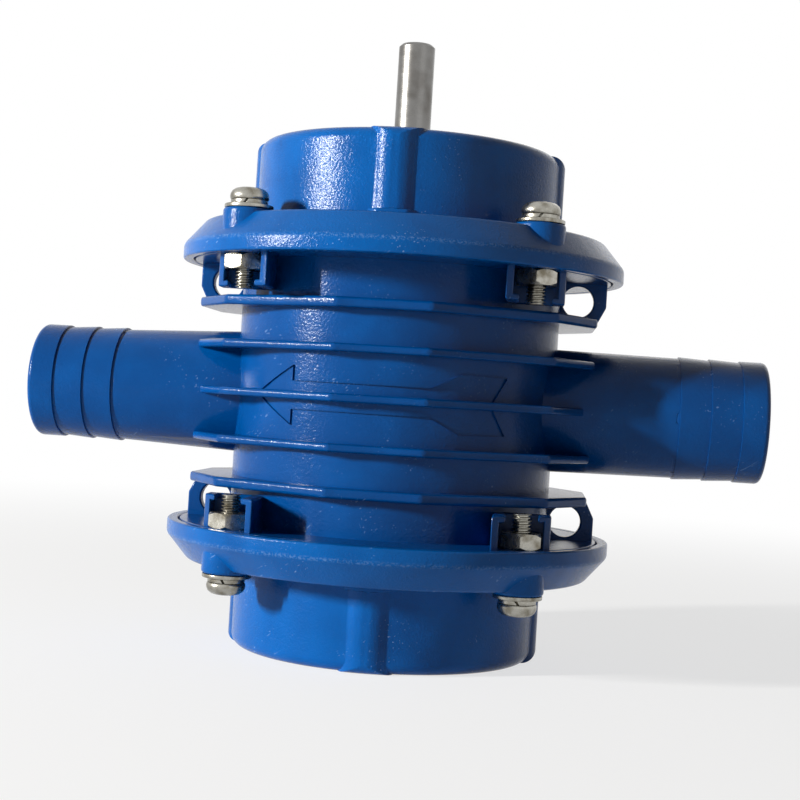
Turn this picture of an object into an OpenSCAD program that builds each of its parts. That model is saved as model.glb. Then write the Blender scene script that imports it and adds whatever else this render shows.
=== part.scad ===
// Small pump for liquids, driven by an electric drill that grips the upright shaft.
// Millimetres. +Z runs up the drive shaft, +X points out of the inlet nozzle, and the
// front of the barrel faces -Y. The origin is the centre of the lower cap's end face,
// on which the pump stands. Heights named _a are measured from the pump's mid plane.

/* [Barrel] */
// Outer radius of the barrel
barrel_r = 35; // [33:0.5:38]
// Wall of the barrel around the seats of the end plates
barrel_wall = 4; // [3:0.25:5]
// Half the height of the body, from the mid plane to the face that a cap sits on
body_half_h = 31; // [30:0.5:34]
// How far the body's end flanges stand out from the barrel
flange_w = 10.8; // [9.5:0.1:13]
// Thickness of the body's end flanges
flange_t = 3; // [2.4:0.1:3.6]

/* [Chamber] */
// Half the height of the pumping chamber
chamber_half_h = 13; // [11.5:0.5:14]
// How far the chamber's centre lies in front of the shaft
chamber_offset = 2.5; // [1:0.25:3.5]
// Least width of the ledge that each end plate rests on
ledge_w = 1.5; // [1:0.25:3]

/* [Fins] */
// Thickness of the three middle fins
fin_t = 1.7; // [1.2:0.1:2.4]
// Thickness of the two outer fins
outer_fin_t = 2.1; // [1.6:0.1:2.6]
// Distance from one middle fin to the next
fin_pitch = 10; // [8:0.25:11]
// Distance from the last middle fin to the outer fin
outer_fin_pitch = 9; // [7.5:0.25:9.5]
// How far a fin stands out from the front and back of the barrel
fin_front_w = 3; // [2:0.25:5]
// How far a fin stands out from the sides of the barrel
fin_side_w = 8; // [7:0.25:9]

/* [Nozzles] */
// Distance from the shaft axis to the end of each nozzle
nozzle_reach = 80; // [75:0.5:95]
// Radius of the passage through each nozzle
nozzle_bore_r = 9.5; // [8:0.25:10.5]
// Outer radius of a nozzle where it leaves the barrel
nozzle_base_r = 13.4; // [13:0.05:14.5]
// Outer radius at the crest of the inlet's outermost barb
inlet_crest_r = 13.15; // [12.3:0.05:13.5]
// Outer radius at the crest of the outlet's outermost barb
outlet_crest_r = 12.5; // [12.3:0.05:13.5]
// How much larger each barb is than the next one out
barb_taper = 0.1; // [0:0.05:0.2]
// How much the inlet narrows behind each barb
inlet_barb_step = 0.3; // [0.2:0.05:0.8]
// How much the outlet narrows behind each barb
outlet_barb_step = 0.4; // [0.2:0.05:0.8]
// Distance from one barb to the next
barb_pitch = 6.55; // [5:0.05:8]
// Length of the outermost barb, up to the end of the nozzle
barb_tip_w = 5.7; // [4.5:0.1:7]
// Number of barbs on each nozzle
barb_count = 3; // [1:1:4]

/* [Mounting eyes] */
// Thickness of the eye plates
eye_t = 3; // [2:0.25:4]
// How far the eye plates stand out from the barrel
eye_plate_w = 10; // [9:0.25:10.5]
// Radius of the mounting holes
eye_r = 3.4; // [2.5:0.1:3.6]
// Distance from the centre of a mounting hole to the plate's outer edge
eye_edge = 6.2; // [5.5:0.1:6.5]

/* [Nut pockets] */
// Outer width of a nut pocket
pocket_w = 11.8; // [11:0.1:12.4]
// Wall of a nut pocket
pocket_wall = 1.45; // [1:0.05:1.6]
// How far a pocket reaches below its flange
pocket_h = 6.7; // [5.5:0.1:7]
// Thickness of the lips that close the end of a pocket
lip_t = 1.2; // [0.8:0.1:1.6]
// How far each lip reaches in from its wall
lip_w = 1.2; // [0.6:0.1:1.8]

/* [Caps] */
// Distance from the mid plane to a cap's end face
cap_reach = 55; // [54:0.5:62]
// How much narrower a cap's drum is than the barrel
drum_step = 2; // [0:0.25:3]
// Rounding of the drum's edge
drum_edge_r = 2.4; // [1:0.2:3.4]
// Thickness of a cap's flange above the body's flange
cap_flange_t = 5.5; // [5:0.1:7]
// Height of the sloping edge of a cap's flange
slope_h = 5.4; // [3:0.1:6.5]
// Width of the sloping edge of a cap's flange
slope_w = 4.6; // [2:0.1:5]
// Wall of the skirt that goes round the body's flange
skirt_wall = 2.3; // [1.8:0.1:3]
// Wall of the spigot that holds an end plate down
spigot_wall = 2.2; // [1.6:0.1:3]
// Radius of the bosses that the screws stand on
boss_r = 5.2; // [4.8:0.1:5.6]
// How far the screw bosses rise above the flange
boss_rise = 0.7; // [0.3:0.1:1.2]
// Rounding of the screw bosses' upper edge
boss_edge_r = 0.7; // [0.2:0.1:0.8]
// Thickness of a cap's end wall
cap_end_t = 4; // [3:0.25:5]
// Thickness of a cap's flange where it is hollowed from below
cap_web_t = 3; // [2:0.25:4]
// Radius of the rounded ribs down the drum
drum_rib_r = 6; // [4:0.25:8]
// How far the rounded ribs stand out from the drum
drum_rib_stand = 1.25; // [0.6:0.05:2]
// Height of the foot of each rounded rib
rib_foot_h = 1.8; // [1:0.1:3]
// Number of stiffening ribs inside a cap
inner_rib_count = 6; // [3:1:8]
// Thickness of the stiffening ribs inside a cap
inner_rib_t = 2; // [1.4:0.1:3]

/* [Fasteners] */
// Radius of the clamping screws
screw_r = 2; // [1.75:0.05:2]
// Length of the screws under their heads
screw_len = 18; // [17:0.5:20]
// Distance from a screw's axis to the edge of the body's flange
screw_inset = 3.9; // [3.3:0.1:4]
// Radius of a screw's head
head_r = 4; // [3.5:0.1:4.5]
// Height of a screw's head
head_h = 2.6; // [2:0.1:3]
// Outer radius of the spring washers
spring_washer_r = 3.8; // [3.5:0.1:4.3]
// Thickness of the spring washers
spring_washer_t = 1; // [0.7:0.05:1.2]
// Outer radius of the flat washers
flat_washer_r = 5; // [4.5:0.1:5.3]
// Thickness of the flat washers
flat_washer_t = 0.8; // [0.5:0.05:1]
// Width of a nut across its flats
nut_af = 8; // [7.8:0.1:8.4]
// Height of a nut
nut_h = 3.2; // [2.4:0.1:3.6]

/* [Drive shaft] */
// Radius of the drive shaft
shaft_r = 4; // [3.5:0.25:4.5]
// Distance from the mid plane to the upper end of the shaft
shaft_reach = 79; // [70:0.5:90]
// Chamfer at both ends of the shaft
shaft_chamfer = 0.6; // [0.2:0.1:1]

/* [Bearings] */
// Outer radius of the ball bearings
bearing_r = 11; // [10.5:0.25:12]
// Width of the ball bearings
bearing_w = 7; // [6:0.25:8]
// Radius of the balls
ball_r = 1.985; // [1.7:0.005:2.1]
// Number of balls in a bearing
ball_count = 7; // [5:1:7]
// Wall around each bearing in its cap
bearing_wall = 3; // [2:0.25:4]
// Thickness of the retaining rings on the shaft
circlip_t = 0.8; // [0.6:0.05:1]

/* [Seals] */
// Outer radius of the lip seals
seal_r = 11; // [9.5:0.25:12]
// Width of the lip seals
seal_w = 7; // [6:0.25:8]
// Thickness of the end plate between the chamber and the seal
plate_floor_t = 2; // [1.5:0.25:3]
// Radius of the sealing rings' section
ring_section_r = 1; // [0.8:0.05:1.2]

/* [Impeller] */
// Outer radius of the impeller's rubber hub
hub_r = 11; // [10:0.25:13]
// Radius of the metal core inside the hub
core_r = 7; // [6.5:0.25:8]
// Number of vanes
vane_count = 8; // [5:1:10]
// Thickness of a vane
vane_t = 2.4; // [1.5:0.1:3]
// Radius of the bead along a vane's tip
vane_bead_r = 1.9; // [1.6:0.1:2.4]
// Gap between the vanes and the chamber where they are closest
vane_gap = 0.3; // [0.2:0.05:0.6]
// Radius of the pin that drives the impeller
pin_r = 1.5; // [1:0.1:2]

/* [Hidden] */
$fn = 96;

// Clearances and the overrun of every cut
overrun = 1;
seat_gap = 0.02;
running_gap = 0.05;
slip_gap = 0.15;
skirt_gap = 0.3;
hole_gap = 0.2;
shaft_hole_gap = 0.4;
nut_gap = 0.4;

// Colours of the moulded plastic, the metals and the rubber
plastic_blue = "#1757a6";
zinc = "#c9c8bd";
steel = "#b9bcc0";
rubber_black = "#26282b";
brass_yellow = "#c2a14e";

// Places worked out from the driving sizes
mid_z = cap_reach;
register_r = barrel_r - barrel_wall;
chamber_r = register_r - chamber_offset - ledge_w;
flange_r = barrel_r + flange_w;
under_a = body_half_h - flange_t;
outer_fin_a = fin_pitch + outer_fin_pitch;
fin_half_x = barrel_r + fin_side_w;
fin_half_y = barrel_r + fin_front_w;

// Corners of one quarter of a fin's outline, as shares of its half width and half depth
fin_corner_shares = [[0.224, 1], [0.802, 0.645], [1, 0.263]];
fin_quarter = [for (s = fin_corner_shares) [s.x * fin_half_x, s.y * fin_half_y]];

nozzle_tip_chamfer_w = barb_tip_w / 4;
first_barb_x = nozzle_reach - barb_tip_w - (barb_count - 1) * barb_pitch;

eye_plate_x = barrel_r + eye_plate_w;
eye_x = eye_plate_x - eye_edge;
eye_low_a = outer_fin_a + outer_fin_t / 2;
eye_a = (eye_low_a + under_a) / 2;

screw_pcr = flange_r - screw_inset;
screw_at = screw_pcr / sqrt(2);
screw_hole_r = screw_r + hole_gap;
nut_corner_r = nut_af / sqrt(3);
pocket_trim_r = flange_r - skirt_gap * 3;
pocket_back = nut_corner_r + nut_gap + pocket_wall;

skirt_in_r = flange_r + skirt_gap;
rim_r = skirt_in_r + skirt_wall;
flange_top_a = body_half_h + cap_flange_t;
slope_low_a = flange_top_a - slope_h;
shoulder_r = rim_r - slope_w;
drum_r = barrel_r - drum_step;
spigot_r = register_r - slip_gap;
hollow_r = spigot_r - spigot_wall;
core_low_a = flange_top_a - cap_web_t;
flange_core_in_r = drum_r + cap_web_t / 2;
flange_core_out_r = flange_r - cap_web_t;
boss_top_a = flange_top_a + boss_rise;
head_seat_a = boss_top_a + flat_washer_t + spring_washer_t;

plate_low_a = chamber_half_h;
plate_top_a = plate_low_a + plate_floor_t + seal_w;
seal_low_a = plate_low_a + plate_floor_t;
ring_groove_half_w = ring_section_r + slip_gap;
ring_mean_r = register_r - running_gap - ring_section_r;
ring_groove_r = ring_mean_r - ring_section_r - running_gap;
ring_a = (plate_low_a + plate_top_a) / 2;

// Section of a lip seal, as shares of its depth round the shaft and of its width
seal_shares = [[1, 0], [1, 1], [0.09, 1], [0.09, 0.84], [0.2, 0.66], [0, 0.4], [0.14, 0.17],
               [0.38, 0.17], [0.38, 0.6], [0.48, 0.74], [0.78, 0.74], [0.78, 0]];
seal_depth = seal_r - shaft_r - running_gap;
garter_share = [0.4, 0.36];
garter_r = shaft_r + running_gap + garter_share.x * seal_depth;
garter_a = seal_low_a + garter_share.y * seal_w;
garter_section_r = seal_w / 13;

bearing_high_a = cap_reach - cap_end_t;
bearing_low_a = bearing_high_a - bearing_w;
bearing_mid_a = (bearing_low_a + bearing_high_a) / 2;
bearing_mouth_a = bearing_low_a - circlip_t;
pitch_r = (shaft_r + bearing_r) / 2;
land_half_gap = ball_r * 0.76;
race_r = ball_r + running_gap;
shield_t = bearing_w / 20;
shield_inset = bearing_w / 35;
cage_half_t = land_half_gap / 2;
cage_half_h = (ball_r + bearing_w / 2 - shield_inset - shield_t) / 2;
boss_relief = cap_end_t / 5;
boss_relief_r = pitch_r - land_half_gap + slip_gap;
bearing_boss_r = bearing_r + bearing_wall;
inner_rib_h = bearing_w * 1.4;

groove_depth = shaft_r / 20;
circlip_high_a = bearing_low_a - slip_gap;
circlip_r = shaft_r * 1.4;
circlip_ear_r = circlip_t * 1.5;
circlip_ear_angle = 17;
shaft_low_a = bearing_high_a - running_gap * 4;

vane_tip_r = chamber_r - chamber_offset - vane_gap;
impeller_half_h = chamber_half_h - vane_gap;
core_key_w = core_r / 2;
core_key_h = (hub_r - core_r) / 3;

// Places the upper set of pieces, which is modelled with heights from the mid plane
module upper() {
    translate([0, 0, mid_z]) children();
}

// Places the lower set, which mirrors the upper one
module lower() {
    translate([0, 0, mid_z]) mirror([0, 0, 1]) children();
}

// Repeats a shape above and below the mid plane
module both_ends() {
    children();
    mirror([0, 0, 1]) children();
}

// Puts a copy on each of the four screw axes, with its -Y side away from the middle
module at_screws() {
    for (x = [-1, 1]) {
        translate([x * screw_at, -screw_at, 0]) children();
        translate([x * screw_at, screw_at, 0]) mirror([0, 1, 0]) children();
    }
}

// A ring between two heights above the mid plane
module ring(outer_r, inner_r, low_a, high_a) {
    translate([0, 0, low_a]) difference() {
        cylinder(r = outer_r, h = high_a - low_a);
        translate([0, 0, -overrun]) cylinder(r = inner_r, h = high_a - low_a + 2 * overrun);
    }
}

// The outline of a fin, mirrored from its quarter
module fin_outline() {
    last = len(fin_quarter) - 1;
    polygon(concat(
        [for (p = fin_quarter) p],
        [for (i = [last:-1:0]) [fin_quarter[i].x, -fin_quarter[i].y]],
        [for (p = fin_quarter) [-p.x, -p.y]],
        [for (i = [last:-1:0]) [-fin_quarter[i].x, fin_quarter[i].y]]));
}

module fin(thickness, at_a) {
    translate([0, 0, at_a]) linear_extrude(height = thickness, center = true) fin_outline();
}

// A nozzle along +X: tapered from the barrel, then stepped by barbs that face the barrel
module nozzle(crest_r, step) {
    barbs = [for (i = [0:barb_count - 1])
        let (r = crest_r + (barb_count - 1 - i) * barb_taper, x = first_barb_x + i * barb_pitch)
        each [[r - step, x], [r, x]]];
    rotate([0, 90, 0]) rotate_extrude() polygon(concat(
        [[0, register_r], [nozzle_base_r, register_r], [nozzle_base_r, barrel_r]],
        barbs,
        [[crest_r, nozzle_reach - nozzle_tip_chamfer_w], [crest_r - step, nozzle_reach],
         [0, nozzle_reach]]));
}

// The flat plate beside the barrel that carries a mounting hole
module eye_plate() {
    corner = eye_plate_x - fin_half_x;
    rotate([90, 0, 0]) linear_extrude(height = eye_t, center = true) polygon([
        [barrel_r - barrel_wall / 2, outer_fin_a],
        [fin_half_x, outer_fin_a],
        [eye_plate_x, outer_fin_a + corner * 2],
        [eye_plate_x, body_half_h - flange_t / 2],
        [barrel_r - barrel_wall / 2, body_half_h - flange_t / 2]]);
}

// The block round one nut, open away from the middle
module pocket_block() {
    translate([-pocket_w / 2, -flange_r, under_a - pocket_h])
        cube([pocket_w, flange_r + pocket_back, pocket_h + flange_t / 2]);
}

// The room for the nut and, between the lips, for the end of the screw
module pocket_channel() {
    room_w = pocket_w - 2 * pocket_wall;
    slot_w = room_w - 2 * lip_w;
    room_back = pocket_back - pocket_wall;
    translate([-room_w / 2, -flange_r, under_a - pocket_h + lip_t])
        cube([room_w, flange_r + room_back, pocket_h - lip_t]);
    translate([-slot_w / 2, -flange_r, under_a - pocket_h - overrun])
        cube([slot_w, flange_r + room_back, lip_t + 2 * overrun]);
}

// One moulding: barrel, fins, flanges, nozzles, mounting eyes and nut pockets
module pump_body() {
    color(plastic_blue) upper() difference() {
        union() {
            cylinder(r = barrel_r, h = 2 * body_half_h, center = true);
            for (i = [-1:1]) fin(fin_t, i * fin_pitch);
            nozzle(inlet_crest_r, inlet_barb_step);
            mirror([1, 0, 0]) nozzle(outlet_crest_r, outlet_barb_step);
            both_ends() {
                fin(outer_fin_t, outer_fin_a);
                translate([0, 0, under_a]) cylinder(r = flange_r, h = flange_t);
                eye_plate();
                mirror([1, 0, 0]) eye_plate();
                intersection() {
                    cylinder(r = pocket_trim_r, h = body_half_h);
                    at_screws() pocket_block();
                }
            }
        }
        translate([0, -chamber_offset, 0])
            cylinder(r = chamber_r, h = 2 * (chamber_half_h + overrun), center = true);
        both_ends() {
            translate([0, 0, chamber_half_h])
                cylinder(r = register_r, h = body_half_h - chamber_half_h + overrun);
            at_screws() {
                pocket_channel();
                translate([0, 0, under_a - overrun]) cylinder(r = screw_hole_r, h = flange_t + 2 * overrun);
            }
            for (x = [-1, 1]) translate([x * eye_x, 0, eye_a]) rotate([90, 0, 0])
                cylinder(r = eye_r, h = eye_t + 2 * overrun, center = true);
        }
        rotate([0, 90, 0]) cylinder(r = nozzle_bore_r, h = 2 * (nozzle_reach + overrun), center = true);
    }
}

// Half section of a cap: spigot, skirt, sloping flange and drum round one hollow
module cap_section() {
    polygon([
        [hollow_r, plate_top_a], [spigot_r, plate_top_a], [spigot_r, body_half_h],
        [flange_core_in_r, body_half_h], [flange_core_in_r, core_low_a],
        [flange_core_out_r, core_low_a], [flange_core_out_r, body_half_h],
        [skirt_in_r, body_half_h], [skirt_in_r, under_a], [rim_r, under_a],
        [rim_r, slope_low_a], [shoulder_r, flange_top_a], [drum_r, flange_top_a],
        [drum_r, cap_reach - drum_edge_r], [drum_r - drum_edge_r, cap_reach],
        [0, cap_reach], [0, bearing_high_a], [hollow_r, bearing_high_a]]);
    translate([drum_r - drum_edge_r, cap_reach - drum_edge_r]) circle(r = drum_edge_r);
}

// The envelope that rounds the upper ends of the drum's ribs
module rib_envelope() {
    reach = drum_r + drum_rib_stand;
    rotate_extrude() {
        square([reach, cap_reach - drum_edge_r]);
        square([reach - drum_edge_r, cap_reach]);
        translate([reach - drum_edge_r, cap_reach - drum_edge_r]) circle(r = drum_edge_r);
    }
}

// Rounded ribs down the outside of the drum, each on a small foot
module drum_ribs() {
    rib_at = drum_r + drum_rib_stand - drum_rib_r;
    foot_r = drum_rib_r + drum_rib_stand / 2;
    intersection() {
        rib_envelope();
        for (turn = [0:90:270]) rotate([0, 0, turn]) {
            translate([rib_at, 0, flange_top_a - cap_web_t / 2])
                cylinder(r = drum_rib_r, h = cap_reach);
            translate([rib_at, 0, flange_top_a - cap_web_t / 2])
                cylinder(r = foot_r, h = cap_web_t / 2 + rib_foot_h);
        }
    }
}

// The round boss that carries a screw's washers
module screw_boss() {
    boss_h = boss_top_a - body_half_h;
    translate([0, 0, body_half_h]) rotate_extrude() {
        square([boss_r, boss_h - boss_edge_r]);
        square([boss_r - boss_edge_r, boss_h]);
        translate([boss_r - boss_edge_r, boss_h - boss_edge_r]) circle(r = boss_edge_r);
    }
}

// A cap with its bearing seat; the shaft passes through the upper one only
module cap(shaft_passes) {
    difference() {
        union() {
            rotate_extrude() cap_section();
            difference() {
                drum_ribs();
                cylinder(r = hollow_r + spigot_wall / 2, h = cap_reach);
            }
            at_screws() screw_boss();
            translate([0, 0, bearing_mouth_a])
                cylinder(r = bearing_boss_r, h = bearing_high_a - bearing_mouth_a + overrun);
            for (i = [0:inner_rib_count - 1]) rotate([0, 0, (i + 0.5) * 360 / inner_rib_count])
                translate([bearing_r + bearing_wall / 2, -inner_rib_t / 2, bearing_high_a - inner_rib_h])
                    cube([hollow_r + spigot_wall / 2 - bearing_r - bearing_wall / 2, inner_rib_t,
                          inner_rib_h + overrun]);
        }
        at_screws() translate([0, 0, body_half_h - overrun])
            cylinder(r = screw_hole_r, h = cap_flange_t + boss_rise + 2 * overrun);
        translate([0, 0, bearing_mouth_a - overrun])
            cylinder(r = bearing_r + seat_gap, h = bearing_w + circlip_t + overrun);
        translate([0, 0, bearing_high_a - overrun]) cylinder(r = boss_relief_r, h = boss_relief + overrun);
        if (shaft_passes) translate([0, 0, bearing_high_a])
            cylinder(r = shaft_r + shaft_hole_gap, h = cap_end_t + overrun);
    }
}

module top_cap() {
    color(plastic_blue) upper() cap(true);
}

module bottom_cap() {
    color(plastic_blue) lower() cap(false);
}

// A disc that closes the chamber and holds the lip seal, with a groove for its sealing ring
module end_plate() {
    hole_r = shaft_r + shaft_hole_gap;
    pocket_r = seal_r + seat_gap;
    rotate_extrude() polygon([
        [hole_r, plate_low_a], [spigot_r, plate_low_a],
        [spigot_r, ring_a - ring_groove_half_w], [ring_groove_r, ring_a - ring_groove_half_w],
        [ring_groove_r, ring_a + ring_groove_half_w], [spigot_r, ring_a + ring_groove_half_w],
        [spigot_r, plate_top_a], [pocket_r, plate_top_a],
        [pocket_r, seal_low_a], [hole_r, seal_low_a]]);
}

module top_end_plate() {
    color(plastic_blue) upper() end_plate();
}

module bottom_end_plate() {
    color(plastic_blue) lower() end_plate();
}

// A round sealing ring
module o_ring() {
    rotate_extrude() translate([ring_mean_r, ring_a]) circle(r = ring_section_r);
}

module top_o_ring() {
    color(rubber_black) upper() o_ring();
}

module bottom_o_ring() {
    color(rubber_black) lower() o_ring();
}

// A rubber seal whose lip faces the chamber, grooved for its spring
module lip_seal() {
    inner_r = shaft_r + running_gap;
    rotate_extrude() difference() {
        polygon([for (s = seal_shares) [inner_r + s.x * seal_depth, seal_low_a + s.y * seal_w]]);
        translate([garter_r, garter_a]) circle(r = garter_section_r + running_gap);
    }
}

module top_lip_seal() {
    color(rubber_black) upper() lip_seal();
}

module bottom_lip_seal() {
    color(rubber_black) lower() lip_seal();
}

// The spring ring that presses the lip onto the shaft
module seal_spring() {
    rotate_extrude() translate([garter_r, garter_a]) circle(r = garter_section_r);
}

module top_seal_spring() {
    color(steel) upper() seal_spring();
}

module bottom_seal_spring() {
    color(steel) lower() seal_spring();
}

// The ground shaft, grooved for two retaining rings and drilled for the pin, with a
// shallow relief where the end that the drill grips leaves the cap
module drive_shaft() {
    groove_low_a = circlip_high_a - circlip_t - running_gap;
    groove_h = circlip_t + 2 * running_gap;
    relief_low_a = cap_reach - shaft_chamfer;
    color(steel) upper() difference() {
        rotate_extrude() polygon([
            [0, -shaft_low_a], [shaft_r - shaft_chamfer, -shaft_low_a],
            [shaft_r, -shaft_low_a + shaft_chamfer], [shaft_r, shaft_reach - shaft_chamfer],
            [shaft_r - shaft_chamfer, shaft_reach], [0, shaft_reach]]);
        both_ends() ring(shaft_r + overrun, shaft_r - groove_depth, groove_low_a, groove_low_a + groove_h);
        ring(shaft_r + overrun, shaft_r - groove_depth, relief_low_a, cap_reach + hole_gap);
        rotate([0, 90, 0]) cylinder(r = pin_r + seat_gap, h = 2 * (shaft_r + overrun), center = true);
    }
}

// The outline shared by the core and the hole that it fills, with keys that stop it slipping
module core_outline(extra) {
    circle(r = core_r + extra);
    square([2 * (core_r + core_key_h + extra), core_key_w + 2 * extra], center = true);
}

// A rubber hub with straight vanes, each thickened to a bead at its tip
module impeller() {
    color(rubber_black) upper() linear_extrude(height = 2 * impeller_half_h, center = true) difference() {
        union() {
            circle(r = hub_r);
            for (i = [0:vane_count - 1]) rotate((i + 0.5) * 360 / vane_count) {
                translate([0, -vane_t / 2]) square([vane_tip_r - vane_bead_r, vane_t]);
                translate([vane_tip_r - vane_bead_r, 0]) circle(r = vane_bead_r);
            }
        }
        core_outline(seat_gap);
    }
}

// The metal core that carries the rubber on the shaft
module impeller_core() {
    color(brass_yellow) upper() difference() {
        linear_extrude(height = 2 * impeller_half_h, center = true) core_outline(0);
        cylinder(r = shaft_r + seat_gap, h = 2 * (impeller_half_h + overrun), center = true);
        rotate([0, 90, 0]) cylinder(r = pin_r + seat_gap, h = 2 * (core_r + core_key_h + overrun), center = true);
    }
}

module impeller_pin() {
    color(steel) upper() rotate([0, 90, 0]) cylinder(r = pin_r, h = 2 * core_r, center = true);
}

// An open retaining ring with two drilled ears
module circlip() {
    ear_at = circlip_r + circlip_ear_r / 2;
    translate([0, 0, circlip_high_a - circlip_t]) linear_extrude(height = circlip_t) difference() {
        union() {
            circle(r = circlip_r);
            for (side = [-1, 1]) rotate(side * circlip_ear_angle) translate([ear_at, 0]) circle(r = circlip_ear_r);
        }
        circle(r = shaft_r - groove_depth + seat_gap);
        square([2 * (ear_at + circlip_ear_r), circlip_t]);
        translate([0, -circlip_t]) square([2 * (ear_at + circlip_ear_r), circlip_t]);
        for (side = [-1, 1]) rotate(side * circlip_ear_angle) translate([ear_at, 0]) circle(r = circlip_ear_r / 2);
    }
}

module top_circlip() {
    color(steel) upper() circlip();
}

module bottom_circlip() {
    color(steel) lower() circlip();
}

// The groove that the balls run in, cut from both rings of a bearing
module race() {
    translate([pitch_r, bearing_mid_a]) circle(r = race_r);
}

module bearing_outer_ring() {
    land_r = pitch_r + land_half_gap;
    rotate_extrude() difference() {
        translate([land_r, bearing_low_a]) square([bearing_r - land_r, bearing_w]);
        race();
    }
}

module bearing_inner_ring() {
    bore_r = shaft_r + seat_gap;
    rotate_extrude() difference() {
        translate([bore_r, bearing_low_a]) square([pitch_r - land_half_gap - bore_r, bearing_w]);
        race();
    }
}

// Puts a copy at each ball's centre
module at_balls() {
    for (i = [0:ball_count - 1]) rotate([0, 0, i * 360 / ball_count])
        translate([pitch_r, 0, bearing_mid_a]) children();
}

module bearing_balls() {
    at_balls() sphere(r = ball_r);
}

// A ring with a window round each ball
module bearing_cage() {
    difference() {
        ring(pitch_r + cage_half_t, pitch_r - cage_half_t,
             bearing_mid_a - cage_half_h, bearing_mid_a + cage_half_h);
        at_balls() rotate([0, 90, 0])
            cylinder(r = ball_r + running_gap, h = 2 * ball_r, center = true);
    }
}

// Thin discs in the outer ring that keep the grease in
module bearing_shields() {
    outer_r = pitch_r + land_half_gap - seat_gap;
    inner_r = pitch_r - land_half_gap + slip_gap;
    ring(outer_r, inner_r, bearing_low_a + shield_inset, bearing_low_a + shield_inset + shield_t);
    ring(outer_r, inner_r, bearing_high_a - shield_inset - shield_t, bearing_high_a - shield_inset);
}

module top_bearing_outer_ring() {
    color(steel) upper() bearing_outer_ring();
}

module bottom_bearing_outer_ring() {
    color(steel) lower() bearing_outer_ring();
}

module top_bearing_inner_ring() {
    color(steel) upper() bearing_inner_ring();
}

module bottom_bearing_inner_ring() {
    color(steel) lower() bearing_inner_ring();
}

module top_bearing_balls() {
    color(steel) upper() bearing_balls();
}

module bottom_bearing_balls() {
    color(steel) lower() bearing_balls();
}

module top_bearing_cage() {
    color(brass_yellow) upper() bearing_cage();
}

module bottom_bearing_cage() {
    color(brass_yellow) lower() bearing_cage();
}

module top_bearing_shields() {
    color(steel) upper() bearing_shields();
}

module bottom_bearing_shields() {
    color(steel) lower() bearing_shields();
}

// A screw with a rounded head, standing on its washers
module screw() {
    edge = head_h / 3;
    translate([0, 0, head_seat_a]) rotate_extrude() {
        square([head_r, head_h - edge]);
        square([head_r - edge, head_h]);
        translate([head_r - edge, head_h - edge]) circle(r = edge);
        translate([0, -screw_len]) square([screw_r, screw_len]);
    }
}

module top_screws() {
    color(zinc) upper() at_screws() screw();
}

module bottom_screws() {
    color(zinc) lower() at_screws() screw();
}

// A split ring, pressed flat under the head
module spring_washer() {
    low_a = boss_top_a + flat_washer_t;
    difference() {
        ring(spring_washer_r, screw_r + running_gap, low_a, low_a + spring_washer_t);
        translate([0, -spring_washer_r, low_a + spring_washer_t / 2]) rotate([0, 30, 0])
            cube([spring_washer_t / 3, 2 * spring_washer_r, 3 * spring_washer_t], center = true);
    }
}

module top_spring_washers() {
    color(zinc) upper() at_screws() spring_washer();
}

module bottom_spring_washers() {
    color(zinc) lower() at_screws() spring_washer();
}

module flat_washer() {
    ring(flat_washer_r, screw_r + running_gap, boss_top_a, boss_top_a + flat_washer_t);
}

module top_flat_washers() {
    color(zinc) upper() at_screws() flat_washer();
}

module bottom_flat_washers() {
    color(zinc) lower() at_screws() flat_washer();
}

// A hexagon nut with turned corners, its flats held by the pocket's walls
module nut() {
    corner_cut = nut_corner_r - nut_af / 2;
    translate([0, 0, under_a - nut_h]) difference() {
        intersection() {
            rotate([0, 0, 30]) cylinder(r = nut_corner_r, h = nut_h, $fn = 6);
            rotate_extrude() polygon([
                [0, 0], [nut_af / 2, 0], [nut_corner_r + seat_gap, corner_cut],
                [nut_corner_r + seat_gap, nut_h - corner_cut], [nut_af / 2, nut_h], [0, nut_h]]);
        }
        translate([0, 0, -overrun]) cylinder(r = screw_r + running_gap, h = nut_h + 2 * overrun);
    }
}

module top_nuts() {
    color(zinc) upper() at_screws() nut();
}

module bottom_nuts() {
    color(zinc) lower() at_screws() nut();
}

pump_body();
top_cap();
bottom_cap();
top_end_plate();
bottom_end_plate();
top_o_ring();
bottom_o_ring();
top_lip_seal();
bottom_lip_seal();
top_seal_spring();
bottom_seal_spring();
drive_shaft();
impeller();
impeller_core();
impeller_pin();
top_circlip();
bottom_circlip();
top_bearing_outer_ring();
bottom_bearing_outer_ring();
top_bearing_inner_ring();
bottom_bearing_inner_ring();
top_bearing_balls();
bottom_bearing_balls();
top_bearing_cage();
bottom_bearing_cage();
top_bearing_shields();
bottom_bearing_shields();
top_screws();
bottom_screws();
top_spring_washers();
bottom_spring_washers();
top_flat_washers();
bottom_flat_washers();
top_nuts();
bottom_nuts();
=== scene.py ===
import math

import bmesh
import bpy
from mathutils import Matrix, Vector


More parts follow.
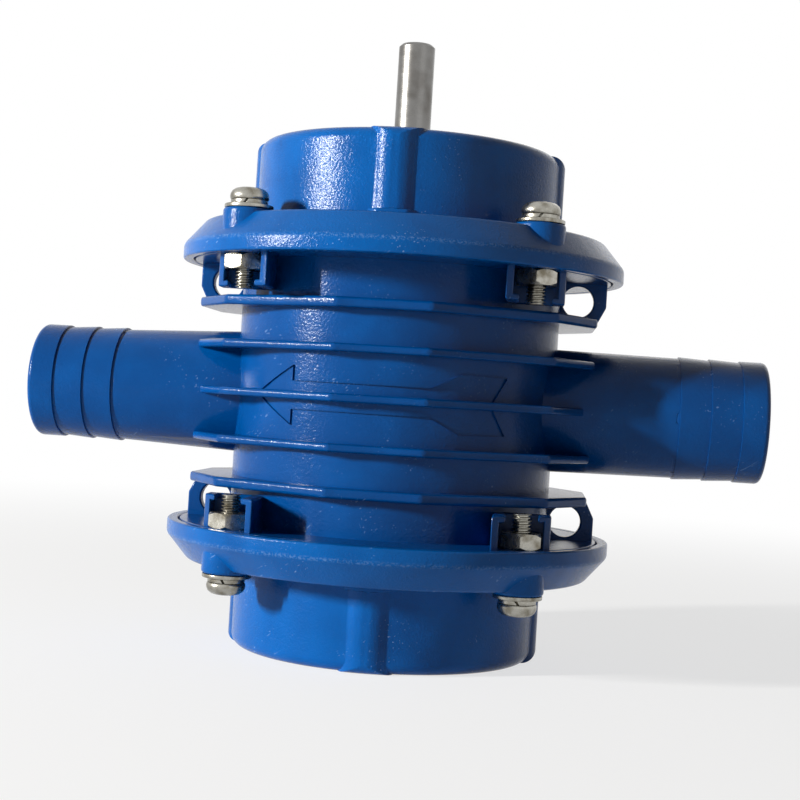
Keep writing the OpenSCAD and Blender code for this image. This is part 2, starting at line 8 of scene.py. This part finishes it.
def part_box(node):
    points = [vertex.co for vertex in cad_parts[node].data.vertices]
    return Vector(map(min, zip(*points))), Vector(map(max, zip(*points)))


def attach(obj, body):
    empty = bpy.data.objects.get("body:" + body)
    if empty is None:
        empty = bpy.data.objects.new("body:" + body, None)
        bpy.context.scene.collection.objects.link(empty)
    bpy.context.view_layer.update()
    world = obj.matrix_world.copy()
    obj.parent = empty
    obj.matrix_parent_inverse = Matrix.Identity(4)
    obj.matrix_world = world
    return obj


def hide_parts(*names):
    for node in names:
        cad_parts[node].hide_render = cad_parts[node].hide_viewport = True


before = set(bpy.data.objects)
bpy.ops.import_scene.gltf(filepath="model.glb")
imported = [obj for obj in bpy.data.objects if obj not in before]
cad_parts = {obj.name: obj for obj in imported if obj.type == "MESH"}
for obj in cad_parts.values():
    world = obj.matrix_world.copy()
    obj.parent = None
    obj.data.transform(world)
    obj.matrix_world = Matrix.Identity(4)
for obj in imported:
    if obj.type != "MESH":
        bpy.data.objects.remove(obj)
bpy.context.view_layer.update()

# The pump body is one injection moulding in blue plastic: barrel, fins, flanges, nozzles,
# mounting eyes and nut pockets. The mould leaves every edge a little round, a coarse
# leather grain on the barrel, and the nozzles smoother.
MID_Z = sum(corner.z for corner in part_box("pump_body")) / 2
JOIN = 0.000002
FLAT_ANGLE = math.radians(0.4)
EDGE_ANGLE = math.radians(24)
SHARP_ANGLE = math.radians(34)


def merged(node):
    """A copy of a node's surface with its loose triangles joined into whole faces."""
    bm = bmesh.new()
    bm.from_mesh(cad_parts[node].data)
    bmesh.ops.remove_doubles(bm, verts=bm.verts, dist=JOIN)
    bmesh.ops.dissolve_limit(bm, angle_limit=FLAT_ANGLE, verts=bm.verts, edges=bm.edges)
    return bm


def round_edges(bm, *rules):
    """Rounds the outer edges: each rule gives a radius, its steps and which places it is for."""
    rounded = bm.faces.layers.int.new("rounded")
    for radius, steps, chosen in rules:
        edges = []
        for edge in bm.edges:
            if not edge.is_manifold or edge.calc_face_angle_signed() < EDGE_ANGLE:
                continue
            if any(face[rounded] for face in edge.link_faces):
                continue
            middle = (edge.verts[0].co + edge.verts[1].co) / 2
            if chosen(math.hypot(middle.x, middle.y), abs(middle.z - MID_Z), abs(middle.x), abs(middle.y)):
                edges.append(edge)
        made = bmesh.ops.bevel(bm, geom=edges, offset=radius, offset_type="OFFSET", segments=steps,
                               profile=0.5, affect="EDGES", clamp_overlap=False, material=-1)
        for face in made["faces"]:
            face[rounded] = 1
    bm.faces.layers.int.remove(rounded)


def piece(name, bm, finish, body, slot, *nodes):
    """Turns a modelled shape into a piece of its body, in place of the nodes that it details."""
    for face in bm.faces:
        face.smooth = True
    for edge in bm.edges:
        edge.smooth = not (edge.is_manifold and edge.calc_face_angle() > SHARP_ANGLE)
    mesh = bpy.data.meshes.new(name)
    bm.to_mesh(mesh)
    bm.free()
    made = bpy.data.objects.new(name, mesh)
    bpy.context.scene.collection.objects.link(made)
    mesh.materials.append(finish.material)
    shade = made.modifiers.new("even_shading", "WEIGHTED_NORMAL")
    shade.keep_sharp = True
    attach(made, body)
    if nodes:
        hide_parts(*nodes)
    return made


class Field:
    """A value on a surface: sums and products with it add their Math nodes."""

    def __init__(self, tree, socket):
        self.tree = tree
        self.socket = socket

    def maths(self, operation, *values):
        """A new field from a Math node on the given values."""
        return node(self.tree, "ShaderNodeMath", {"operation": operation}, dict(enumerate(values)))

    def __add__(self, other):
        return self.maths("ADD", self, other)

    def __radd__(self, other):
        return self.maths("ADD", other, self)

    def __sub__(self, other):
        return self.maths("SUBTRACT", self, other)

    def __rsub__(self, other):
        return self.maths("SUBTRACT", other, self)

    def __mul__(self, other):
        return self.maths("MULTIPLY", self, other)

    def __rmul__(self, other):
        return self.maths("MULTIPLY", other, self)

    def __abs__(self):
        return self.maths("ABSOLUTE", self)

    def __pow__(self, other):
        return self.maths("POWER", self, other)

    def or_more(self, other):
        """The larger of two values."""
        return self.maths("MAXIMUM", self, other)

    def within(self, low, high):
        """0 below low, 1 above high and a smooth rise between them."""
        return node(self.tree, "ShaderNodeMapRange", {"interpolation_type": "SMOOTHSTEP"},
                    {"Value": self, "From Min": low, "From Max": high})


def connect(tree, socket, value):
    """Links a field to a socket, or sets the socket's own value."""
    if isinstance(value, Field):
        tree.links.new(value.socket, socket)
    else:
        socket.default_value = value


def node(tree, kind, settings, inputs, output=0):
    """Adds a shader node from its type, settings and inputs, and gives one of its outputs."""
    made = tree.nodes.new(kind)
    for name, value in settings.items():
        setattr(made, name, value)
    for name, value in inputs.items():
        connect(tree, made.inputs[name], value)
    return Field(tree, made.outputs[output])


class Finish:
    """A material whose pattern lies on the piece's own coordinates."""

    def __init__(self, name, metallic=0.0):
        self.material = bpy.data.materials.new(name)
        self.material.use_nodes = True
        self.tree = self.material.node_tree
        self.shader = self.tree.nodes["Principled BSDF"]
        self.set("Metallic", metallic)
        self.place = node(self.tree, "ShaderNodeTexCoord", {}, {}, "Object")

    def set(self, name, value):
        connect(self.tree, self.shader.inputs[name], value)

    def noise(self, size, detail=2.0, rough=0.5, stretch=(1, 1, 1), turn=(0, 0, 0)):
        """Soft noise with spots about as large as size, drawn out along turned axes."""
        place = node(self.tree, "ShaderNodeMapping", {"vector_type": "TEXTURE"},
                     {"Vector": self.place, "Rotation": turn, "Scale": stretch})
        return node(self.tree, "ShaderNodeTexNoise", {}, {"Vector": place, "Scale": 1 / size,
                                                          "Detail": detail, "Roughness": rough})

    def mix(self, factor, first, second):
        """The first colour where the factor is 0 and the second where it is 1."""
        return node(self.tree, "ShaderNodeMix", {"data_type": "RGBA"}, {0: factor, 6: first, 7: second}, 2)

    def axes(self):
        """The place on the piece as three fields."""
        split = self.tree.nodes.new("ShaderNodeSeparateXYZ")
        self.tree.links.new(self.place.socket, split.inputs[0])
        return [Field(self.tree, socket) for socket in split.outputs]

    def relief(self, *layers):
        """Bumps from pairs of a height field and its depth in metres, one on the other."""
        normal = None
        for height, depth in layers:
            inputs = {"Height": height, "Distance": depth}
            if normal:
                inputs["Normal"] = normal
            normal = node(self.tree, "ShaderNodeBump", {}, inputs)
        self.set("Normal", normal)


def colour(red, green, blue):
    """A colour given as the eye sees it, from 0 to 255, as the light that the shader needs."""
    def light(value):
        share = value / 255
        return share / 12.92 if share <= 0.04045 else ((share + 0.055) / 1.055) ** 2.4
    return (light(red), light(green), light(blue), 1)


BLUE = colour(0, 85, 158)
DEEP_BLUE = colour(0, 63, 125)
# The pale colour of scratches, specks and rubbed edges, and of the painted highlight on the caps' rim.
PALE_WEAR_AND_SHEEN = colour(152, 188, 226)
PLASTIC_SHINE = 0.13
CLOUD_SIZE = 0.012
SCUFFED_SIZE = 0.009
SCRATCH_W = 0.0005
SPECK_SIZE = 0.0007
RUB_AND_SHEEN_SIZE = 0.0004
SINK_SIZE, SINK_DEPTH = 0.004, 0.00005
GLOSS, GRAIN_MATT, PALE_MATT = 0.15, 0.08, 0.2


def blue_plastic(name, clouds_and_shade, grain_size, grain_depth, scuffs, wear_and_sheen_edges):
    """Moulded blue plastic: mould grain, faint clouds of colour whose share of deep blue also lays a
    painted shade, scratches, and pale edges that are partly worn and partly a painted highlight.
    """
    f = Finish(name)
    f.set("Specular IOR Level", PLASTIC_SHINE)
    x, y, z = f.axes()
    radius = (x * x + y * y) ** 0.5
    grain = f.noise(grain_size, 2, 0.6)
    # The share of deep blue also lays a painted shade: more of it on the body than on the caps.
    base = f.mix(f.noise(CLOUD_SIZE, 3).within(*clouds_and_shade), BLUE, DEEP_BLUE)
    places = f.noise(SCUFFED_SIZE).within(0.52, 0.66)
    scratches = (f.noise(SCRATCH_W, 1, 0.5, (1, 1, 26), (0.5, 0.9, 0)).within(0.7, 0.76)
                 + f.noise(SCRATCH_W, 1, 0.5, (1, 1, 22), (1.3, -0.5, 0.6)).within(0.7, 0.76)) * places
    specks = f.noise(SPECK_SIZE, 1).within(0.74, 0.78) * places
    pale = (scratches + specks) * scuffs
    rub_and_sheen = f.noise(RUB_AND_SHEEN_SIZE, 2, 0.7).within(0.46, 0.62)
    # Pale bands along the given edges: rubbed wear, and on the flange's rim also a painted highlight.
    for edge_r, edge_a, width, amount in wear_and_sheen_edges:
        near = ((radius - edge_r) ** 2 + (abs(z - MID_Z) - edge_a) ** 2) ** 0.5
        pale = pale + (1 - near.within(0, width)) * rub_and_sheen * amount
    f.set("Base Color", f.mix(pale, base, PALE_WEAR_AND_SHEEN))
    f.set("Roughness", GLOSS + GRAIN_MATT * grain + PALE_MATT * pale)
    f.relief((grain, grain_depth), (f.noise(SINK_SIZE), SINK_DEPTH))
    return f


BARREL_R = 0.035
FIN_LEVELS = (0, 0.010, 0.019)
FIN_HALF_T = 0.0012
FIN_ROUND, EYE_ROUND, POCKET_ROUND, MOULD_ROUND = 0.0007, 0.0004, 0.0004, 0.00028
NOZZLE_CUT = 0.0611


def on_fin(r, a, x, y):
    """Whether a place is on the rim of a fin."""
    return r > BARREL_R + 0.0022 and any(abs(a - level) < FIN_HALF_T for level in FIN_LEVELS)


def on_eye_plate(r, a, x, y):
    """Whether a place is on the outline of a mounting eye."""
    return 0.0013 < y < 0.0017 and x > 0.036 and 0.0195 < a < 0.0275


def on_pocket(r, a, x, y):
    """Whether a place is on the walls of a nut's pocket."""
    return x > 0.022 and y > 0.022 and 0.021 < a < 0.0279


def on_other_outside(r, a, x, y):
    """Whether a place is on the outside, short of the barbs."""
    return r > BARREL_R + 0.0002 and x < NOZZLE_CUT - 0.0031


# The body takes a larger share of the deep blue than the caps: painted shade that darkens the whole body.
body_finish = blue_plastic("body_plastic", (-0.2, 0.65), 0.0006, 0.00007, 0.2, [])
body = merged("pump_body")
for side in (-1, 1):
    bmesh.ops.bisect_plane(body, geom=body.verts[:] + body.edges[:] + body.faces[:], dist=JOIN,
                           plane_co=(side * NOZZLE_CUT, 0, 0), plane_no=(side, 0, 0), clear_outer=True)
    bmesh.ops.bridge_loops(body, edges=[e for e in body.edges if e.is_boundary])
round_edges(body,
            (FIN_ROUND, 4, on_fin),
            (EYE_ROUND, 3, on_eye_plate),
            (POCKET_ROUND, 3, on_pocket),
            (MOULD_ROUND, 2, on_other_outside))
piece("pump_body_moulding", body, body_finish, "housing", "blue_plastic", "pump_body")

# The outer ends of the nozzles carry three barbs that grip a hose. The inlet, at the
# right, is a little thicker than the outlet.
NOZZLE_REACH = 0.080
BORE_R = 0.0095
BARBS = (0.0612, 0.06775, 0.0743)
BARB_TAPER = 0.0001
ROOT_SINK = 0.00003
BARB_START = 0.0606
BARB_SIDES = 120
TIP_ROUND, CREST_ROUND = 0.0011, 0.00012
INLET = ("inlet_barbs", 1, 0.01315, 0.0003)
OUTLET = ("outlet_barbs", -1, 0.0125, 0.0004)


def on_tip(r, a, x, y):
    """Whether a place is on the end face of a nozzle."""
    return x > NOZZLE_REACH - 0.0001


for name, side, crest_r, step in (INLET, OUTLET):
    first_root_r = crest_r + 2 * BARB_TAPER - step - ROOT_SINK
    profile = [(BORE_R, BARB_START), (first_root_r, BARB_START)]
    for number, place in enumerate(BARBS):
        barb_r = crest_r + (2 - number) * BARB_TAPER
        profile += [(barb_r - step - (ROOT_SINK if number == 0 else 0), place), (barb_r, place)]
    profile += [(crest_r, NOZZLE_REACH), (BORE_R, NOZZLE_REACH)]
    barbs = bmesh.new()
    line = [barbs.verts.new((side * along, 0, r)) for r, along in profile]
    line += [barbs.edges.new(pair) for pair in zip(line, line[1:] + line[:1])]
    bmesh.ops.spin(barbs, geom=line, axis=(1, 0, 0), angle=math.tau, steps=BARB_SIDES,
                   use_merge=True)
    bmesh.ops.translate(barbs, vec=(0, 0, MID_Z), verts=barbs.verts)
    bmesh.ops.recalc_face_normals(barbs, faces=barbs.faces)
    round_edges(barbs,
                (TIP_ROUND, 6, lambda *at: on_tip(*at) and math.hypot(at[1], at[3]) > BORE_R + 0.0015),
                (CREST_ROUND, 2, lambda *at: at[2] > BARB_START and not on_tip(*at)),
                (TIP_ROUND / 2, 3, on_tip))
    piece(name, barbs, body_finish, "housing", "blue_plastic")

# The arrow for the way the shaft turns is a thin raised line on the front of the barrel,
# moulded with it. The middle fin runs along it, over its point and its tail.
ARROW_LINE = 0.0006
ARROW_RISE = 0.0004
ARROW_ROOT = 0.0003
ARROW_EDGE = 0.00016
ARROW_HALF = [(-0.0299, 0), (-0.0192, 0.0061), (-0.0192, 0.0029), (0.0100, 0.0029), (0.0164, 0.0061),
              (0.0274, 0.0059), (0.0234, 0)]
BEND_STEP = 0.0012
BENDS = 25

arrow = bmesh.new()
corners = ARROW_HALF + [(along, -up) for along, up in reversed(ARROW_HALF[1:-1])]
outline = arrow.faces.new([arrow.verts.new((along, up, -ARROW_ROOT)) for along, up in corners])
bmesh.ops.inset_individual(arrow, faces=[outline], thickness=ARROW_LINE, use_even_offset=True)
bmesh.ops.delete(arrow, geom=[outline], context="FACES_ONLY")
raised = bmesh.ops.extrude_face_region(arrow, geom=arrow.faces[:])["geom"]
bmesh.ops.translate(arrow, vec=(0, 0, ARROW_ROOT + ARROW_RISE),
                    verts=[v for v in raised if isinstance(v, bmesh.types.BMVert)])
bmesh.ops.recalc_face_normals(arrow, faces=arrow.faces)
bmesh.ops.bevel(arrow, geom=[e for e in arrow.edges if all(v.co.z > 0 for v in e.verts)
                             and e.calc_face_angle() > EDGE_ANGLE],
                offset=ARROW_EDGE, offset_type="OFFSET", segments=3, profile=0.5, affect="EDGES",
                clamp_overlap=False, material=-1)
for step in range(-BENDS, BENDS + 1):
    bmesh.ops.bisect_plane(arrow, geom=arrow.verts[:] + arrow.edges[:] + arrow.faces[:], dist=JOIN,
                           plane_co=(step * BEND_STEP, 0, 0), plane_no=(1, 0, 0))
for vert in arrow.verts:
    turned = vert.co.x / BARREL_R
    reach = BARREL_R + vert.co.z
    vert.co = (reach * math.sin(turned), -reach * math.cos(turned), MID_Z + vert.co.y)
piece("rotation_arrow", arrow, body_finish, "housing", "blue_plastic")

# The shaft is ground from bright steel bar. A pin locks it to the impeller's core, and two
# retaining rings in its grooves keep it in place.
STEEL, STEEL_SHADE = colour(128, 127, 125), colour(100, 97, 93)
GRINDING_SIZE, GRINDING_DEPTH = 0.0011, 0.000012
SHAFT_EDGE, PIN_EDGE = 0.00006, 0.00008
steel = Finish("ground_steel", 1.0)
turning = steel.noise(GRINDING_SIZE, 3, 0.6, (9, 9, 1))
steel.set("Roughness", 0.2 + 0.2 * turning)
steel.set("Base Color", steel.mix(steel.noise(0.006, 3).within(0.35, 0.75), STEEL, STEEL_SHADE))
steel.relief((turning, GRINDING_DEPTH))


def clad(node_name, finish, body, slot, *rules):
    """Stands a rounded copy in for a node."""
    copy = merged(node_name)
    round_edges(copy, *rules)
    piece(node_name + "_finished", copy, finish, body, slot, node_name)


def anywhere(r, a, x, y):
    """Every place on a piece."""
    return True


clad("drive_shaft", steel, "rotor", "bright_steel", (SHAFT_EDGE, 2, anywhere))
for name in ("impeller_pin", "top_circlip", "bottom_circlip"):
    clad(name, steel, "rotor", "bright_steel", (PIN_EDGE, 2, anywhere))

# The impeller is a rubber wheel moulded on a brass core. Its vanes bend against the flat
# side of the chamber and push the liquid round.
RUBBER_EDGE, CORE_EDGE = 0.0004, 0.00015
rubber = Finish("black_rubber")
rubber.set("Base Color", colour(36, 37, 39))
rubber.set("Roughness", 0.5 + 0.25 * rubber.noise(0.0008, 2))
rubber.relief((rubber.noise(0.0004, 2), 0.00003))
brass = Finish("turned_brass", 1.0)
brass.set("Base Color", colour(196, 160, 82))
brass_lines = brass.noise(0.0012, 3, 0.6, (12, 12, 1))
brass.set("Roughness", 0.22 + 0.2 * brass_lines)
brass.relief((brass_lines, 0.00001))
clad("impeller", rubber, "rotor", "black_rubber", (RUBBER_EDGE, 3, anywhere))
clad("impeller_core", brass, "rotor", "brass", (CORE_EDGE, 2, anywhere))

# Two plastic end plates close the chamber. A rubber ring seals each one in the barrel, and
# a lip seal with a spring round it seals the shaft.
PLATE_EDGE, LIP_EDGE = 0.0002, 0.0001
for end in ("top", "bottom"):
    clad(end + "_end_plate", body_finish, "housing", "blue_plastic", (PLATE_EDGE, 2, anywhere))
    clad(end + "_lip_seal", rubber, "housing", "black_rubber", (LIP_EDGE, 2, anywhere))
for name, finish in (("o_ring", rubber), ("seal_spring", steel)):
    for end in ("top", "bottom"):
        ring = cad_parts[f"{end}_{name}"]
        ring.data.materials.clear()
        ring.data.materials.append(finish.material)

# Each cap holds a shielded ball bearing: two ground steel rings, seven balls in a brass
# cage and thin steel shields.
RACE_EDGE = 0.00025
for end in ("top", "bottom"):
    clad(end + "_bearing_outer_ring", steel, "housing", "bright_steel", (RACE_EDGE, 2, anywhere))
    clad(end + "_bearing_inner_ring", steel, "rotor", "bright_steel", (RACE_EDGE, 2, anywhere))
    for name, finish in (("bearing_balls", steel), ("bearing_cage", brass), ("bearing_shields", steel)):
        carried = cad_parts[f"{end}_{name}"]
        carried.data.materials.clear()
        carried.data.materials.append(finish.material)

# The caps are mouldings of the same plastic, smoother from the mould and scuffed in use. The edge of the
# flange is painted pale, partly rubbed where the pump has been set down and partly a painted highlight.
RIM_R, RIM_A = 0.0484, 0.0311
SHOULDER_R, SHOULDER_A = 0.0438, 0.0365
DRUM_R = 0.033
FLANGE_ROUND, SKIRT_ROUND, DRUM_ROUND, BORE_ROUND = 0.0006, 0.0005, 0.0004, 0.0003
# The pale band on the rim is partly rubbed wear and partly a painted highlight.
RIM_WEAR_AND_SHEEN = (RIM_R, RIM_A, 0.0008, 0.2)
WORN_SHOULDER = (SHOULDER_R, SHOULDER_A, 0.0005, 0.08)
cap_finish = blue_plastic("cap_plastic", (0.3, 1.0), 0.0005, 0.00009, 0.35, [RIM_WEAR_AND_SHEEN, WORN_SHOULDER])


def on_rim(r, a, x, y):
    """Whether a place is on the outer edge of a cap's sloping flange."""
    return abs(r - RIM_R) < 0.0006 and a > RIM_A - 0.0011


def on_skirt(r, a, x, y):
    """Whether a place is on the lower edge of a cap's skirt."""
    return r > 0.0455 and a < 0.029


def on_shoulder(r, a, x, y):
    """Whether a place is on the inner edge of a cap's sloping flange."""
    return abs(r - SHOULDER_R) < 0.0008 and abs(a - SHOULDER_A) < 0.0004


def on_drum(r, a, x, y):
    """Whether a place is on the ribs and bosses outside a cap's drum."""
    return r > DRUM_R - 0.0005 and SHOULDER_A < a - 0.0001 < 0.0509


def on_bore(r, a, x, y):
    """Whether a place is on the bearing's seat or the shaft's hole."""
    return r < 0.02


for end in ("top", "bottom"):
    clad(end + "_cap", cap_finish, "housing", "blue_plastic",
         (FLANGE_ROUND, 3, on_rim),
         (SKIRT_ROUND, 3, on_skirt),
         (FLANGE_ROUND, 3, on_shoulder),
         (DRUM_ROUND, 3, on_drum),
         (BORE_ROUND, 2, on_bore))

# A zinc-plated nut sits in each pocket, which stops it turning. The plating is bright and
# a little yellow.
SCREW_AT = 0.0419 / math.sqrt(2)
NUT_EDGE = 0.00014
ZINC, ZINC_SHADE = colour(166, 164, 156), colour(108, 102, 88)
zinc = Finish("zinc_plate", 1.0)
zinc.set("Roughness", 0.16 + 0.22 * zinc.noise(0.0012, 3, 0.6))
zinc.set("Base Color", zinc.mix(zinc.noise(0.0025, 3).within(0.35, 0.75), ZINC, ZINC_SHADE))
zinc.relief((zinc.noise(0.0005, 2), 0.00002))


def on_nut_sides(r, a, x, y):
    """Whether a place is on the six corners of a nut, short of its end faces."""
    return 0.0255 < a < 0.0273


for end in ("top", "bottom"):
    clad(end + "_nuts", zinc, "housing", "zinc_plate", (NUT_EDGE, 2, on_nut_sides))

# Under each screw head lie a flat washer, pressed from sheet, and a split spring washer.
WASHER_EDGE, SPRING_EDGE = 0.00018, 0.0002
for end in ("top", "bottom"):
    clad(end + "_flat_washers", zinc, "housing", "zinc_plate", (WASHER_EDGE, 3, anywhere))
    clad(end + "_spring_washers", zinc, "housing", "zinc_plate", (SPRING_EDGE, 3, anywhere))

# Eight M4 screws clamp the caps to the body: pan heads with a cross recess, and a rolled
# thread that shows below the nuts.
THREAD_R, ROOT_R = 0.00198, 0.00156
PITCH = 0.0007
THREAD_STEPS, SPARE_TURNS = 24, 3
HEAD_SIDES = 48
SCREW_TURN = 0.7
HEAD_A, END_A, THREAD_TOP_A = 0.0390, 0.0210, 0.0300
HEAD_PROFILE = [(0, 0.0026), (0.0012, 0.00258), (0.0022, 0.00248), (0.0030, 0.00224), (0.0036, 0.00178),
                (0.0039, 0.00122), (0.0040, 0.0007), (0.00396, 0.00022), (0.0038, 0), (0.0019, 0),
                (0.0019, THREAD_TOP_A - HEAD_A - PITCH), (0, THREAD_TOP_A - HEAD_A - PITCH)]
THREAD_PROFILE = [(ROOT_R, 0), (ROOT_R, 0.00008), (THREAD_R, 0.0003), (THREAD_R, 0.0004),
                  (ROOT_R, 0.00062), (ROOT_R, PITCH)]
ARM_HALF_W, ARM_REACH, RECESS_DEPTH = 0.00042, 0.0019, 0.0013
CROWN_H = 0.0022
RECESS_TAPER = 0.7


def profile_line(bm, points, at_z):
    """Joins points given as radius and height into a line in the XZ plane."""
    verts = [bm.verts.new((r, 0, at_z + h)) for r, h in points]
    edges = [bm.edges.new(pair) for pair in zip(verts, verts[1:])]
    return verts + edges


def screw_head():
    """A pan head on a plain shank, with a cross sunk into its crown."""
    bm = bmesh.new()
    bmesh.ops.spin(bm, geom=profile_line(bm, HEAD_PROFILE, HEAD_A), axis=(0, 0, 1), angle=math.tau,
                   steps=HEAD_SIDES, use_merge=True)
    bmesh.ops.remove_doubles(bm, verts=bm.verts, dist=JOIN)
    bmesh.ops.recalc_face_normals(bm, faces=bm.faces)
    for axis in (Vector((1, 0, 0)), Vector((0, 1, 0))):
        for reach in (-ARM_REACH, -ARM_HALF_W, ARM_HALF_W, ARM_REACH):
            crown = [f for f in bm.faces if f.calc_center_median().z > HEAD_A + CROWN_H]
            around = {v for f in crown for v in f.verts} | {e for f in crown for e in f.edges}
            bmesh.ops.bisect_plane(bm, geom=crown + list(around), dist=JOIN, plane_co=axis * reach,
                                   plane_no=axis)
    arms = []
    for face in bm.faces:
        middle = face.calc_center_median()
        near, far = sorted((abs(middle.x), abs(middle.y)))
        if middle.z > HEAD_A + CROWN_H and near < ARM_HALF_W and far < ARM_REACH:
            arms.append(face)
    sunk = bmesh.ops.extrude_face_region(bm, geom=arms)["geom"]
    bottom = [v for v in sunk if isinstance(v, bmesh.types.BMVert)]
    bmesh.ops.translate(bm, vec=(0, 0, -RECESS_DEPTH), verts=bottom)
    bmesh.ops.scale(bm, vec=(RECESS_TAPER, RECESS_TAPER, 1), verts=bottom)
    return bm


def thread(bm):
    """Adds a rolled thread as a closed shell, cut square at both ends."""
    turns = round((THREAD_TOP_A - END_A) / PITCH) + SPARE_TURNS
    made = bmesh.new()
    start = profile_line(made, THREAD_PROFILE, END_A - SPARE_TURNS / 2 * PITCH)
    bmesh.ops.spin(made, geom=start, axis=(0, 0, 1), dvec=(0, 0, PITCH / THREAD_STEPS),
                   angle=math.tau * turns, steps=THREAD_STEPS * turns)
    bmesh.ops.remove_doubles(made, verts=made.verts, dist=JOIN)
    for height, side in ((END_A, -1), (THREAD_TOP_A, 1)):
        bmesh.ops.bisect_plane(made, geom=made.verts[:] + made.edges[:] + made.faces[:], dist=JOIN,
                               plane_co=(0, 0, height), plane_no=(0, 0, side), clear_outer=True)
    bmesh.ops.holes_fill(made, edges=[e for e in made.edges if e.is_boundary], sides=0)
    bmesh.ops.recalc_face_normals(made, faces=made.faces)
    mesh = bpy.data.meshes.new("thread")
    made.to_mesh(mesh)
    made.free()
    bm.from_mesh(mesh)
    bpy.data.meshes.remove(mesh)


one_screw = bpy.data.meshes.new("one_screw")
pattern = screw_head()
thread(pattern)
pattern.to_mesh(one_screw)
pattern.free()
for end, flip in (("top", 0), ("bottom", math.pi)):
    screws = bmesh.new()
    for number, (side, depth) in enumerate(((-1, -1), (1, -1), (-1, 1), (1, 1))):
        before = len(screws.verts)
        screws.from_mesh(one_screw)
        place = (Matrix.Translation((side * SCREW_AT, depth * SCREW_AT, MID_Z))
                 @ Matrix.Rotation(flip, 4, "X") @ Matrix.Rotation(SCREW_TURN * number, 4, "Z"))
        bmesh.ops.transform(screws, matrix=place, verts=screws.verts[before:])
    piece(end + "_screws_finished", screws, zinc, "housing", "zinc_plate", end + "_screws")
bpy.data.meshes.remove(one_screw)

# The camera stands a little to the right of the front, level with the middle of the pump,
# and leans over a little.
FRAME_PX = 800
FOCAL_PX = 1496
SENSOR = 36
DISTANCE = 0.332
YAW = math.radians(5.1)
ROLL = math.radians(3.55)
AIM_RIGHT, AIM_UP = 0.001, 0.0002

eye = bpy.data.cameras.new("camera")
eye.sensor_width = SENSOR
eye.lens = FOCAL_PX / FRAME_PX * SENSOR
eye.clip_start = 0.01
eye.clip_end = 20
camera = bpy.data.objects.new("camera", eye)
bpy.context.scene.collection.objects.link(camera)
facing = (Matrix.Rotation(YAW, 4, "Z") @ Matrix.Rotation(math.radians(90), 4, "X")
          @ Matrix.Rotation(ROLL, 4, "Z"))
right, up, back = (facing.to_3x3() @ Vector(axis) for axis in ((1, 0, 0), (0, 1, 0), (0, 0, 1)))
aim = Vector((0, 0, MID_Z)) + right * AIM_RIGHT + up * AIM_UP
camera.matrix_world = Matrix.Translation(aim + back * DISTANCE) @ facing
bpy.context.scene.camera = camera


# A strong narrow lamp to the left gives the low light and its bright stripe on the plastic.
# Weak wide lamps at the right, behind and above keep the far sides readable.
def softbox(name, azimuth, height, distance, width, length, power, tint=(1, 1, 1)):
    """A soft lamp at an azimuth from the front, turned towards the pump."""
    light = bpy.data.lights.new(name, "AREA")
    light.shape = "RECTANGLE"
    light.size = width
    light.size_y = length
    light.energy = power
    light.color = tint
    lamp = bpy.data.objects.new(name, light)
    around = math.radians(azimuth)
    place = Vector((distance * math.sin(around), -distance * math.cos(around), height))
    lamp.location = place
    lamp.rotation_euler = (Vector((0, 0, MID_Z)) - place).to_track_quat("-Z", "Y").to_euler()
    bpy.context.scene.collection.objects.link(lamp)


softbox("key_lamp", azimuth=-60, height=0.26, distance=0.85, width=0.03, length=0.11, power=13.0,
        tint=(1.0, 0.98, 0.94))
softbox("fill_lamp", azimuth=48, height=0.30, distance=1.1, width=0.7, length=0.7, power=0.42)
softbox("back_lamp", azimuth=168, height=0.6, distance=1.1, width=0.8, length=0.5, power=0.65)
softbox("top_lamp", azimuth=-20, height=1.1, distance=0.35, width=0.8, length=0.8, power=0.12)

# The surround is a plain white studio, and its light on the pump is weaker than its look.
STUDIO_FILL = 0.025
bpy.context.scene.view_settings.view_transform = "Standard"
world = bpy.data.worlds.new("surround")
world.use_nodes = True
bpy.context.scene.world = world


def seen_as_background(tree):
    """1 for the camera's rays and those by way of metal, and 0 for light on the object."""
    rays = tree.nodes.new("ShaderNodeLightPath")
    direct, mirrored, passed = (Field(tree, rays.outputs[kind]) for kind in
                                ("Is Camera Ray", "Is Glossy Ray", "Is Transmission Ray"))
    return direct.or_more(mirrored.or_more(passed))


white = world.node_tree.nodes["Background"]
connect(world.node_tree, white.inputs["Color"], (1, 1, 1, 1))
connect(world.node_tree, white.inputs["Strength"],
        STUDIO_FILL + (1 - STUDIO_FILL) * seen_as_background(world.node_tree))

# The floor is matt white paint. It keeps the pump's shadow and fades into the surround.
FLOOR_R = 4.0
FLOOR_LIFT = 0.7
FADE_FROM, FADE_TO = 0.1, 0.55
floor_bm = bmesh.new()
bmesh.ops.create_circle(floor_bm, cap_ends=True, segments=64, radius=FLOOR_R)
floor_mesh = bpy.data.meshes.new("floor")
floor_bm.to_mesh(floor_mesh)
floor_bm.free()
floor = bpy.data.objects.new("floor", floor_mesh)
bpy.context.scene.collection.objects.link(floor)
paint = Finish("pale_floor")
paint.set("Base Color", colour(243, 243, 243))
paint.set("Roughness", 0.8)
floor_x, floor_y = paint.axes()[:2]
away = ((floor_x * floor_x + floor_y * floor_y) ** 0.5).within(FADE_FROM, FADE_TO)
glow = node(paint.tree, "ShaderNodeEmission", {}, {"Color": (1, 1, 1, 1), "Strength": 1.0})
share = (FLOOR_LIFT + (1 - FLOOR_LIFT) * away) * seen_as_background(paint.tree)
blend = node(paint.tree, "ShaderNodeMixShader", {},
             {0: share, 1: Field(paint.tree, paint.shader.outputs[0]), 2: glow})
connect(paint.tree, paint.tree.nodes["Material Output"].inputs["Surface"], blend)
floor_mesh.materials.append(paint.material)
